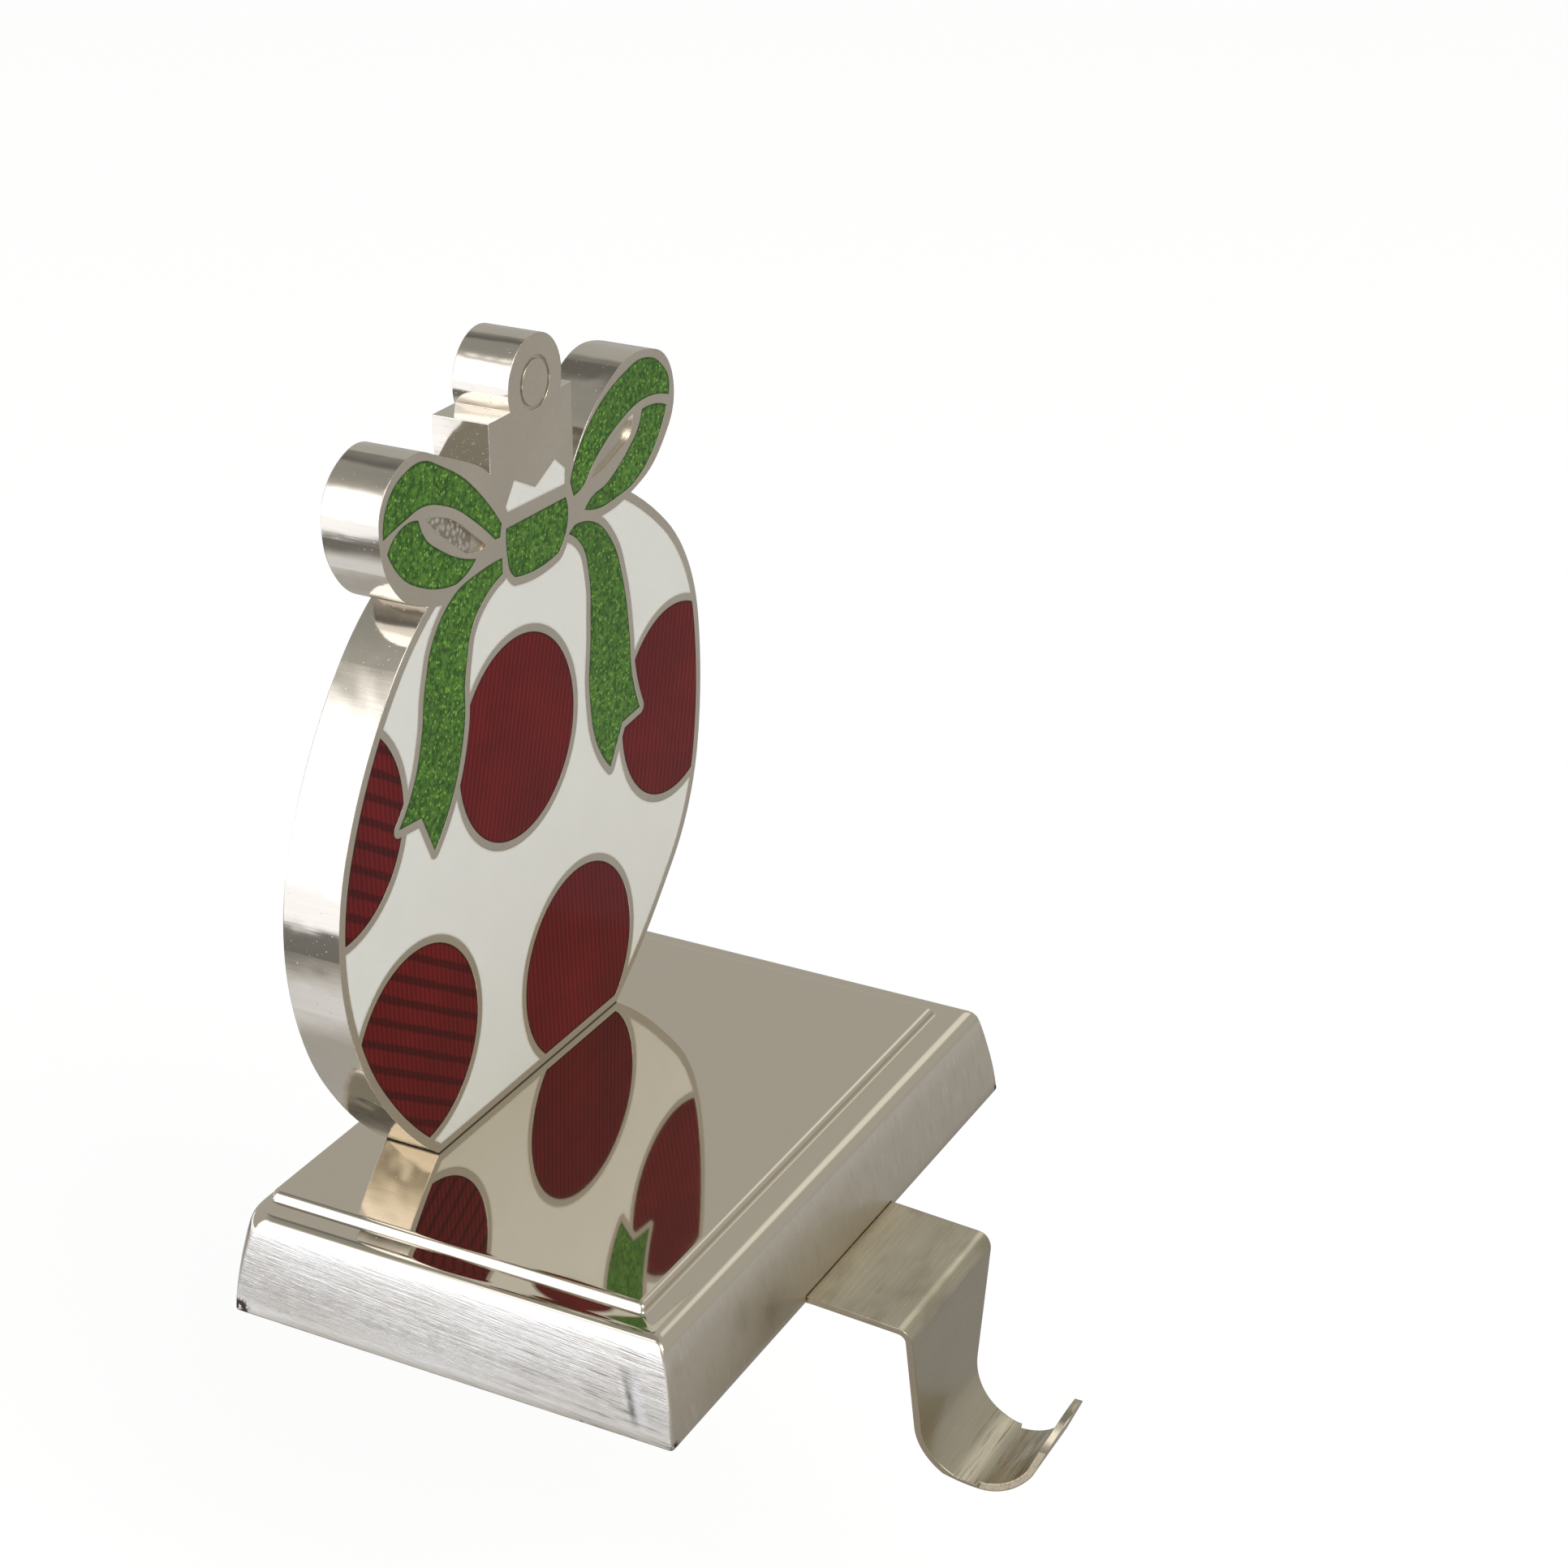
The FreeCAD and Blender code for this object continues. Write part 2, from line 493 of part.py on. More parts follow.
nodes = {
    "base_shell": base_shell(),
    "ballast_plate": ballast_plate(),
    "base_pad": base_pad(),
    "hook_screws": screws("HookScrews", BOSS_PLACES, hook_screw),
    "figure_screws": screws("FigureScrews", FIGURE_SCREW_PLACES, figure_screw),
}
strip_blank = add_feature("strip_blank", hook_strip())
strip_holes = fuse("StripHoles", *[hook_screw_hole(f"StripHole{i}", x, y) for i, (x, y) in enumerate(BOSS_PLACES)])
nodes["hook_strip"] = cut("HookStrip", strip_blank, strip_holes)
cell_faces = cells()
nodes["figure_casting"] = add_feature("figure_casting", figure_casting(cell_faces.values()), figure_placement())
for label, face in cell_faces.items():
    nodes[label] = add_feature(label, backward(face, size("enamel_depth")), figure_placement())
for label, thing in nodes.items():
    thing.Label = label
doc.recompute()

for thing in doc.Objects:
    assert not {"Invalid", "Error"} & set(thing.State), f"{thing.Name} failed: {thing.State}"
os.makedirs("parts", exist_ok=True)
for label, thing in nodes.items():
    shape = thing.Shape
    assert not shape.isNull() and shape.isValid() and shape.Solids, f"{label} has no valid solid"
    shape.exportStep(f"parts/{label}.step")
    bounds = shape.BoundBox
    print(f"{label}: {len(shape.Solids)} solid, {shape.Volume:.0f} mm3, "
          f"{bounds.XMin:.1f}..{bounds.XMax:.1f}, {bounds.YMin:.1f}..{bounds.YMax:.1f}, "
          f"{bounds.ZMin:.1f}..{bounds.ZMax:.1f}")
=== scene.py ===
"""Mantel stocking holder: finishes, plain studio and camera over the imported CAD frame.

Metres.  +Z up, -Y towards the room (the hook side), +X to the right; z = 0 is the mantel.
Sizes and places inside the finishes and the cast base are in millimetres.
"""
import math

import bpy
from mathutils import Matrix, Vector


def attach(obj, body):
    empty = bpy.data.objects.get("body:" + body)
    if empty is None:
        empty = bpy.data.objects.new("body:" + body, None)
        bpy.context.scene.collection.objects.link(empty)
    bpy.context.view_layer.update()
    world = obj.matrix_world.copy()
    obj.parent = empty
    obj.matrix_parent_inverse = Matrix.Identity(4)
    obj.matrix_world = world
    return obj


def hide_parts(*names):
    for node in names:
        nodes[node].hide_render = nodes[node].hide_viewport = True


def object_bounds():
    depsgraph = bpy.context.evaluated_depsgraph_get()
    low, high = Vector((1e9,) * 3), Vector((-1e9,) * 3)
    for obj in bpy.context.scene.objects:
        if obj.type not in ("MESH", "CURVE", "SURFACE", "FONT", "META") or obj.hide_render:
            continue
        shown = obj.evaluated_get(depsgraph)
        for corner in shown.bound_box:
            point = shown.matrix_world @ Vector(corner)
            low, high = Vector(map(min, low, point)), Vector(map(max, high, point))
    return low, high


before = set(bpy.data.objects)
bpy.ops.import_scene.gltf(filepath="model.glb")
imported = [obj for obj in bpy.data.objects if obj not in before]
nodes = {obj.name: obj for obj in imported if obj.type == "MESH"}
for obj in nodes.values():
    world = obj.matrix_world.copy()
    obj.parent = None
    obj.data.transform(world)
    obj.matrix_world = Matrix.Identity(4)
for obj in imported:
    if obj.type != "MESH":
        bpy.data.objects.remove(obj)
cad_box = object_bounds()

MM = 1000.0  # millimetres in a metre
X, Y, Z = range(3)


# Shader maths

class Socket:
    """A node's output; arithmetic on it adds Math nodes."""

    def __init__(self, finish, socket):
        self.finish, self.socket = finish, socket

    def maths(self, operation, *values):
        return self.finish.node("Math", {"operation": operation}, *values)

    def __add__(self, other):
        return self.maths("ADD", self, other)

    def __sub__(self, other):
        return self.maths("SUBTRACT", self, other)

    def __mul__(self, other):
        return self.maths("MULTIPLY", self, other)

    def __radd__(self, other):
        return self.maths("ADD", other, self)

    def __rsub__(self, other):
        return self.maths("SUBTRACT", other, self)

    def __rmul__(self, other):
        return self.maths("MULTIPLY", other, self)

    def __abs__(self):
        return self.maths("ABSOLUTE", self)

    def max(self, other):
        return self.maths("MAXIMUM", self, other)

    def sin(self):
        return self.maths("SINE", self)

    def swing(self, size):
        """A pattern between 0 and 1 as one that swings about 0, over a range of size in all."""
        return (self - 0.5) * size

    def step(self, low, high):
        """0 below low and 1 above high, smooth between; high may be the lower one."""
        return self.finish.node("MapRange", {"interpolation_type": "SMOOTHSTEP"},
                                self, low, high, 0.0, 1.0)


class Finish:
    """A material whose nodes are added through node()."""

    def __init__(self, name):
        self.material = bpy.data.materials.new(name)
        self.material.use_nodes = True
        self.tree = self.material.node_tree
        self.tree.nodes.clear()
        self.output = self.tree.nodes.new("ShaderNodeOutputMaterial")

    def feed(self, socket, value):
        if isinstance(value, Socket):
            self.tree.links.new(value.socket, socket)
        elif isinstance(value, tuple) and len(value) == 3 and len(socket.default_value) == 4:
            socket.default_value = (*value, 1.0)
        else:
            socket.default_value = value

    def node(self, kind, settings=None, *values, out=0, **named):
        """Add a node: its settings first, then its inputs in order or by name.

        None passes an input over, and out is the output that is wanted, by place or by name.
        """
        node = self.tree.nodes.new("ShaderNode" + kind)
        for key, value in (settings or {}).items():
            setattr(node, key, value)
        for socket, value in zip(node.inputs, values):
            if value is not None:
                self.feed(socket, value)
        for name, value in named.items():
            self.feed(node.inputs[name.replace("_", " ")], value)
        return Socket(self, node.outputs[out])

    def object_place(self):
        """Object coordinates in metres."""
        return self.node("TexCoord", out="Object")

    def millimetres(self):
        """Object coordinates in millimetres."""
        return self.scaled(self.object_place(), MM)

    def scaled(self, vector, factor):
        return self.node("VectorMath", {"operation": "SCALE"}, vector, Scale=factor)

    def facing(self):
        """The surface's direction."""
        return self.node("NewGeometry", out="Normal")

    def part(self, vector, axis):
        return self.node("SeparateXYZ", None, vector, out=axis)

    def parts(self, vector):
        return [self.part(vector, axis) for axis in (X, Y, Z)]

    def vector(self, x, y, z):
        return self.node("CombineXYZ", None, x, y, z)

    def noise(self, place, scale, detail=3.0, rough=0.5):
        return self.node("TexNoise", None,
                         Vector=place, Scale=scale, Detail=detail, Roughness=rough)

    def cells(self, place, scale, out="Distance"):
        """Random cells: the distance from a cell's middle, or the cell's own "Color"."""
        return self.node("TexVoronoi", {"feature": "F1"}, Vector=place, Scale=scale, out=out)

    def spot(self, place, centre, radius, soft):
        """1 inside a ball about a point, 0 outside."""
        away = self.node("VectorMath", {"operation": "DISTANCE"}, place, centre, out="Value")
        return away.step(radius + soft, radius - soft)

    def blend(self, amount, low, high):
        """Mix two colours."""
        skipped = [None] * 5  # the inputs for mixing numbers and vectors
        return self.node("Mix", {"data_type": "RGBA"}, amount, *skipped, low, high, out=2)

    def eased(self, radius):
        """The surface's direction with its edges eased over a radius."""
        return self.node("Bevel", {"samples": 6}, Radius=radius / MM)

    def rim(self, width):
        """1 along a thin solid's edges over a width, 0 further in."""
        settings = {"inside": True, "only_local": True, "samples": 8}
        closed = self.node("AmbientOcclusion", settings, Distance=width / MM, out="AO")
        return closed.step(0.98, 0.62)

    def bump(self, height, distance, strength=1.0, **over):
        """Relief in which a height of 1 stands out by the distance."""
        return self.node("Bump", None,
                         Strength=strength, Distance=distance / MM, Height=height, **over)

    def finished(self, shader):
        self.tree.links.new(shader.socket, self.output.inputs["Surface"])
        return self.material

    def surface(self, **sockets):
        return self.finished(self.node("BsdfPrincipled", None, **sockets))

    def glow(self, colour, level):
        """Shine in a colour at a level that varies from place to place."""
        bright = self.scaled(colour, level)
        return self.finished(self.node("Emission", None, Color=bright, Strength=1.0))


# Colours of the part

# NICKEL_PAINTED_LIGHT is painted light; the darker nickel is a darker tone and also painted shade
NICKEL, NICKEL_DARK_AND_PAINTED_SHADE, NICKEL_PAINTED_LIGHT = (0.72, 0.66, 0.56), (0.56, 0.51, 0.43), (0.97, 0.94, 0.89)
PAINTED_GLINT, SCRATCH, SOOT = (0.98, 0.98, 0.98), (0.26, 0.25, 0.24), (0.24, 0.20, 0.15)
# Painted shade and painted highlight of the dent
DENT_PAINTED_SHADE, DENT_PAINTED_HIGHLIGHT = (0.20, 0.19, 0.17), (0.99, 0.98, 0.96)
# Painted shade in the crease at the figure's foot
JOINT_PAINTED_SHADE = (0.030, 0.027, 0.024)
# Painted highlight and painted shade of the hammered hollow
HAMMERED_PAINTED_HIGHLIGHT, HAMMERED_PAINTED_SHADE = (0.98, 0.96, 0.92), (0.22, 0.19, 0.15)
STRIP_PLATE, STRIP_SHADE = (0.67, 0.61, 0.48), (0.50, 0.455, 0.35)
STRIP_CLOUD, STRIP_LINES = (0.27, 0.24, 0.16), (0.20, 0.18, 0.14)
TAN, RUST = (0.42, 0.25, 0.12), (0.045, 0.022, 0.016)
SCREW_STEEL, SCREW_STEEL_SHADE = (0.62, 0.61, 0.57), (0.45, 0.44, 0.42)
BALLAST_STEEL, BALLAST_STEEL_SHADE = (0.30, 0.29, 0.28), (0.16, 0.12, 0.09)
FELT_DARK, FELT_LIGHT, FELT_FLECK = (0.34, 0.22, 0.12), (0.62, 0.46, 0.30), (0.20, 0.12, 0.07)
WHITE_LOW, WHITE_HIGH, WHITE_RIM = (0.70, 0.70, 0.665), (0.75, 0.75, 0.715), (0.30, 0.28, 0.25)
GREEN_LOW, GREEN_HIGH = (0.026, 0.080, 0.011), (0.088, 0.215, 0.028)
# GREEN_PAINTED_GLINT is a painted glint
GREEN_PAINTED_GLINT, GREEN_RIM = (0.27, 0.52, 0.075), (0.012, 0.045, 0.008)
RED_LOW, RED_HIGH = (0.090, 0.0042, 0.0052), (0.200, 0.0095, 0.0115)
RED_BAND, RED_RIM = (0.036, 0.0020, 0.0024), (0.030, 0.006, 0.006)


# Finishes.  A spot is its centre, its radius and how far its edge fades to either side.

PLATE_RELIEF, STRIP_RELIEF, FELT_RELIEF = 0.05, 0.03, 0.25
WHITE_RELIEF, GREEN_RELIEF, RED_RELIEF = 0.02, 0.06, 0.05
GREEN_BUMP, RED_BUMP = 0.5, 0.6  # strengths
BASE_EDGES, OTHER_EDGES = 0.25, 0.22  # how far the plating softens an edge

POLISHED_HEIGHTS = 12.9, 13.4
CHIPS = [((-49.0, 32.2, 0.6), 1.5, 0.5), ((-48.4, -32.9, 0.2), 1.0, 0.4),
         ((49.0, -32.8, 0.6), 0.9, 0.3), ((-49.0, -20.0, 0.0), 0.5, 0.3)]
SOOT_LOW, SOOT_HIGH = ((-22.0, -32.4, 4.2), 2.0, 4.5), ((-29.0, -31.6, 7.4), 1.0, 2.5)
DENT_Y, DENT_LEAN = -28.4, 0.33  # the upright dent in the left wall: its foot, and per height
DENT_HIGHLIGHT_AWAY = 1.3


def plated_base():
    """Mirror-bright top and edges, brushed satin walls with painted light and shade, tan wear and
    rust chips at the foot.
    """
    finish = Finish("nickel base")
    place = finish.millimetres()
    x, y, z = finish.parts(place)
    nx, ny, nz = finish.parts(finish.facing())
    top = nz.step(0.32, 0.45).max(z.step(*POLISHED_HEIGHTS))
    bare = 1.0 - top
    left = nx.step(-0.75, -0.95)
    front = ny.step(-0.75, -0.92)
    near = y.step(8.0, -34.0)

    cloud = finish.noise(place, 0.07)
    mottle = finish.noise(place, 0.35, 4.0, 0.6)
    streaks = finish.noise(finish.vector(x * 0.05, y * 0.05, z * 1.3 - y * 0.07), 1.3)
    fine = finish.noise(finish.vector(x * 0.14, y * 0.14, z * 5.0 - y * 0.35), 1.5, 3.0, 0.55)
    patches = finish.noise(finish.vector(x * 0.05, y * 0.05, z * 0.14), 1.0, 2.0)
    satin = finish.noise(finish.vector(x * 1.1, y, z * 0.16), 1.0, 4.0, 0.65)
    painted_glints = fine.step(0.58, 0.70) * mottle.step(0.42, 0.62)
    scratches = fine.step(0.47, 0.36) * streaks.step(0.54, 0.40) * near
    # worn sets where the wear is, and also where the painted streaks and glints are strongest
    worn = patches.step(0.40, 0.62).max(near * 0.9).max(z.step(7.0, 12.0) * 0.8)

    # Painted light and shade: the left wall is painted pale and streaked, the front one painted in
    # shade with a paler band painted along its top and pale and dark satin patches, for what the
    # walls mirror; the front is also sooty
    left_painted_light = streaks.swing(1.1) * worn + patches.swing(0.9) + 0.84
    colour = finish.blend(bare * left * left_painted_light, NICKEL, NICKEL_PAINTED_LIGHT)
    shade = cloud.swing(1.1) + mottle.swing(0.5) + 0.16
    colour = finish.blend(bare * front * shade, colour, NICKEL_DARK_AND_PAINTED_SHADE)
    upper_painted_light = z.step(8.5, 12.5) * 0.30 + satin.step(0.56, 0.72) * 0.30 + cloud.swing(0.3)
    colour = finish.blend(bare * front * upper_painted_light, colour, NICKEL_PAINTED_LIGHT)
    colour = finish.blend(bare * front * satin.step(0.46, 0.32) * 0.35, colour, NICKEL_DARK_AND_PAINTED_SHADE)
    soot = finish.spot(place, *SOOT_LOW) * 0.45 + finish.spot(place, *SOOT_HIGH) * 0.3
    colour = finish.blend(bare * front * soot * (mottle + 0.5), colour, SOOT)
    # Painted glints: white flecks in the left wall's colour stand for highlights
    colour = finish.blend(bare * left * painted_glints * worn * 0.8, colour, PAINTED_GLINT)
    colour = finish.blend(bare * left * scratches * 0.8, colour, SCRATCH)

    # The dent is painted: a line of painted shade with a painted highlight beside it
    across = y - DENT_Y - z * DENT_LEAN
    tall = z.step(1.2, 4.0) * z.step(9.8, 6.5) * left
    dark = abs(across).step(1.0, 0.0) * tall * mottle.step(0.25, 0.75)
    colour = finish.blend(dark, colour, DENT_PAINTED_SHADE)
    bright = abs(across + DENT_HIGHLIGHT_AWAY).step(1.2, 0.2) * tall
    colour = finish.blend(bright * 0.8, colour, DENT_PAINTED_HIGHLIGHT)

    # Wear along the foot, and chips at its corners
    foot = z.step(0.42, 0.05) * finish.noise(place, 0.5, 2.0).step(0.3, 0.62)
    colour = finish.blend(foot, colour, TAN)
    chips = finish.spot(place, *CHIPS[0])
    for chip in CHIPS[1:]:
        chips = chips.max(finish.spot(place, *chip))
    chips = chips * finish.noise(place, 1.6, 2.0).step(0.36, 0.5)
    colour = finish.blend(chips, colour, RUST)

    walls = left * (streaks.swing(0.20) * worn + mottle.swing(0.08)) + front * 0.10 + 0.24
    roughness = walls + top * (mottle.swing(0.03) + 0.035 - walls)
    height = (streaks * 0.4 + fine * 0.4) * bare * (left + 0.12)
    height = height - abs(across).step(1.2, 0.1) * tall * 1.5 - chips * 1.5
    normal = finish.bump(height, PLATE_RELIEF, Normal=finish.eased(BASE_EDGES))
    return finish.surface(Base_Color=colour, Metallic=1.0 - chips * 0.8,
                          Roughness=roughness + chips * 0.4, Normal=normal)


JOINT_HEIGHTS = 15.50, 15.30  # where the painted shade line in the crease at the figure's foot ends
LOOP_HOLLOW, LOOP_HOLLOW_Y = ((-15.0, 17.0, 99.6), 5.4, 0.6), 16.7  # hammered, behind the face
EDGE_DENT, EDGE_FOLD = ((-37.0, 17.6, 28.5), 0.8, 1.5), ((-36.4, 19.4, 28.0), 0.5, 1.3)


def plated_figure():
    """Satin face and bright side walls, the walls painted paler for the light they mirror, a
    little uneven from the casting under the plate.
    """
    finish = Finish("nickel figure")
    place = finish.millimetres()
    x, y, z = finish.parts(place)
    ny = finish.part(finish.facing(), Y)
    face = ny.step(-0.7, -0.95)
    back = ny.step(0.7, 0.95)
    sides = 1.0 - face

    grain = finish.noise(place, 6.0)
    cloud = finish.noise(place, 0.06)
    brushed = finish.noise(finish.vector(x * 0.9, y * 0.07, z * 0.9), 1.6, 4.0, 0.6)
    pits = finish.noise(place, 2.6, 2.0).step(0.70, 0.78)
    swell = finish.noise(place, 0.10, 2.0)
    stipple = finish.spot(place, *LOOP_HOLLOW) * (y - LOOP_HOLLOW_Y).step(0.0, 0.2)
    hammered = finish.cells(place, 1.3)

    colour = finish.blend(cloud.swing(1.2) + brushed.swing(0.7) + 0.35, NICKEL, NICKEL_DARK_AND_PAINTED_SHADE)
    # Painted light: the side walls are painted paler
    colour = finish.blend(sides * 0.25, colour, NICKEL_PAINTED_LIGHT)
    # Painted shade in the crease where the figure meets the base
    colour = finish.blend(z.step(*JOINT_HEIGHTS) * 0.9, colour, JOINT_PAINTED_SHADE)
    # Painted highlights and shade on the hammered hollow: bright cell middles, dark cell edges
    colour = finish.blend(stipple * hammered.step(0.30, 0.12) * 0.9, colour, HAMMERED_PAINTED_HIGHLIGHT)
    colour = finish.blend(stipple * hammered.step(0.42, 0.60) * 0.6, colour, HAMMERED_PAINTED_SHADE)

    roughness = cloud.swing(0.08) + brushed.swing(0.10) + face * (grain.swing(0.12) + 0.20) + 0.10
    height = (swell * (5.0 - back * 3.6) + pits * 0.6) * sides
    height = height + brushed * 0.12 + grain * 0.05 * face + stipple * hammered * 3.2
    height = height + finish.spot(place, *EDGE_DENT) * 4.0 - finish.spot(place, *EDGE_FOLD) * 3.0
    normal = finish.bump(height, PLATE_RELIEF, Normal=finish.eased(OTHER_EDGES))
    return finish.surface(Base_Color=colour, Metallic=1.0, Roughness=roughness, Normal=normal)


STRIP_ROOT_Y = -33.25  # where the strip comes out of the base
TAIL_HEIGHTS = -2.2, -1.0
BOWL_HEIGHTS, BOWL_REACH = (-19.5, -23.0), (-51.0, -53.0)
DROP_SCRATCH = (2.0, -50.0, -17.6), 1.2, 0.5


def plated_strip():
    """Satin plate drawn across the strip, with worn edges and rust where it leaves the base."""
    finish = Finish("nickel strip")
    place = finish.millimetres()
    x, y, z = finish.parts(place)
    cut_edge = abs(finish.part(finish.facing(), X)).step(0.55, 0.85)
    tail = z.step(*TAIL_HEIGHTS)
    bowl = z.step(*BOWL_HEIGHTS) * y.step(*BOWL_REACH)

    grain = finish.noise(place, 4.0, 4.0)
    cloud = finish.noise(place, 0.12)
    drawn = finish.noise(finish.vector(x * 0.10, y * 2.4, z * 2.4), 1.2, 4.0, 0.6)
    broad = finish.noise(finish.vector(x * 0.5, y * 1.1, z * 1.1), 0.22, 2.0)
    root = (y - STRIP_ROOT_Y).step(-0.35, 0.25)
    rust = root * finish.noise(place, 1.9).step(0.60, 0.68)

    shade = drawn.swing(tail * 0.8 + 0.8) + cloud.swing(0.6) + broad.swing(1.2) * tail + 0.60
    colour = finish.blend(shade, STRIP_PLATE, STRIP_SHADE)
    colour = finish.blend(tail * broad.step(0.50, 0.72) * 0.28, colour, STRIP_CLOUD)
    dark_lines = (drawn + cloud * 0.4).step(0.66, 0.90)
    colour = finish.blend(bowl * dark_lines * 0.65, colour, STRIP_LINES)
    colour = finish.blend(root * 0.4, colour, TAN)
    colour = finish.blend(cut_edge * 0.22, colour, TAN)
    colour = finish.blend(rust, colour, RUST)

    roughness = drawn.swing(0.16) + grain.swing(0.08) + cut_edge * 0.10 + rust * 0.4 + 0.24
    marks = finish.noise(finish.vector(x, y, z * 5.0), 1.0, 1.0).step(0.5, 0.6)
    height = drawn * 0.35 + grain * 0.1 - finish.spot(place, *DROP_SCRATCH) * marks
    normal = finish.bump(height, STRIP_RELIEF, Normal=finish.eased(OTHER_EDGES))
    return finish.surface(Base_Color=colour, Metallic=1.0 - rust * 0.8, Roughness=roughness,
                          Normal=normal)


def bright_steel(name, low, high, blotches, roughness):
    """Plain steel with blotches of a second tone and fine turning marks."""
    finish = Finish(name)
    place = finish.millimetres()
    cloud = finish.noise(place, blotches, 4.0)
    fine = finish.noise(place, 5.0)
    colour = finish.blend(cloud.step(0.35, 0.7), low, high)
    return finish.surface(Base_Color=colour, Metallic=1.0, Roughness=fine.swing(0.2) + roughness,
                          Normal=finish.bump(fine, PLATE_RELIEF))


def tan_felt():
    """Short matted fibres with a few darker flecks."""
    finish = Finish("tan felt")
    place = finish.millimetres()
    x, y, z = finish.parts(place)
    fibres = finish.noise(finish.vector(x * 1.2, y * 3.0, z), 2.2, 6.0, 0.7)
    crossed = finish.noise(finish.vector(x * 3.0, y * 1.1, z), 2.0, 6.0, 0.7)
    flecks = finish.noise(place, 3.2, 2.0).step(0.62, 0.7)
    colour = finish.blend(fibres, FELT_DARK, FELT_LIGHT)
    colour = finish.blend(flecks * 0.5, colour, FELT_FLECK)
    return finish.surface(Base_Color=colour, Roughness=0.95, Sheen_Weight=0.3,
                          Normal=finish.bump(fibres + crossed, FELT_RELIEF))


def white_enamel():
    """Glossy opaque enamel, barely rippled."""
    finish = Finish("white enamel")
    place = finish.millimetres()
    cloud = finish.noise(place, 0.12, 2.0)
    ripple = finish.noise(place, 0.25, 2.0)
    colour = finish.blend(cloud, WHITE_LOW, WHITE_HIGH)
    colour = finish.blend(finish.rim(0.35) * 0.45, colour, WHITE_RIM)
    return finish.surface(Base_Color=colour, Roughness=cloud.swing(0.04) + 0.07,
                          Specular_IOR_Level=0.22, Normal=finish.bump(ripple, WHITE_RELIEF))


def green_enamel():
    """Clear green over a hammered ground, its bright flecks painted glints off the ground."""
    finish = Finish("green enamel")
    place = finish.millimetres()
    flecks, tint = (finish.cells(place, 2.1, out) for out in ("Distance", "Color"))
    ground = finish.noise(place, 1.5, 3.0, 0.6)
    cloud = finish.noise(place, 0.08, 2.0)
    lit = finish.part(tint, X).step(0.55, 1.0) * flecks.step(0.60, 0.20)
    dim = ((cloud - 0.35) * 0.5).max(finish.rim(0.55) * 0.75)
    colour = finish.blend(ground.step(0.34, 0.66), GREEN_LOW, GREEN_HIGH)
    # Painted glints: bright flecks where the hammered ground would catch the light
    colour = finish.blend(lit * 0.85, colour, GREEN_PAINTED_GLINT)
    colour = finish.blend(dim, colour, GREEN_RIM)
    normal = finish.bump(flecks + ground * 0.5, GREEN_RELIEF, GREEN_BUMP)
    return finish.surface(Base_Color=colour, Roughness=0.14, Specular_IOR_Level=0.16,
                          Normal=normal)


def red_enamel(name, line_angle, line_pitch, band_angle, band_pitch, band_depth):
    """Clear deep red over an engraved ground: fine lines, and broad bands across some dots."""
    finish = Finish(name)
    place = finish.millimetres()
    x, z = finish.part(place, X), finish.part(place, Z)
    wobble = finish.noise(place, 0.4, 2.0)
    cloud = finish.noise(place, 0.07, 2.0)

    def waves(angle, pitch):
        turn = math.radians(angle)
        return ((x * math.cos(turn) + z * math.sin(turn)) * (2 * math.pi / pitch)).sin()

    lines = (waves(line_angle, line_pitch) + wobble.swing(1.6)).step(-0.9, 1.1)
    bands = (waves(band_angle, band_pitch) + wobble.swing(0.8)).step(0.15, 0.85) * band_depth
    colour = finish.blend(lines * 0.5 + cloud.swing(0.9), RED_LOW, RED_HIGH)
    colour = finish.blend(bands, colour, RED_BAND)
    colour = finish.blend(finish.rim(0.5) * 0.75, colour, RED_RIM)
    normal = finish.bump(lines * 0.4 - bands * 0.5, RED_RELIEF, RED_BUMP)
    return finish.surface(Base_Color=colour, Roughness=0.09, Specular_IOR_Level=0.12,
                          Normal=normal)


# Meshes

def placed(name, data):
    """An object of some data, in the scene."""
    thing = bpy.data.objects.new(name, data)
    bpy.context.scene.collection.objects.link(thing)
    return thing


def mesh_object(name, vertices, faces):
    mesh = bpy.data.meshes.new(name)
    mesh.from_pydata(vertices, [], faces)
    return placed(name, mesh)


def dress(mesh, material):
    mesh.materials.clear()
    mesh.materials.append(material)


def round_turn(count):
    return [2 * math.pi * i / count for i in range(count)]


def ring_faces(rings, count):
    """The faces between closed rings of so many points, which follow each other."""
    return [(ring * count + i, ring * count + (i + 1) % count,
             (ring + 1) * count + (i + 1) % count, (ring + 1) * count + i)
            for ring in range(rings - 1) for i in range(count)]


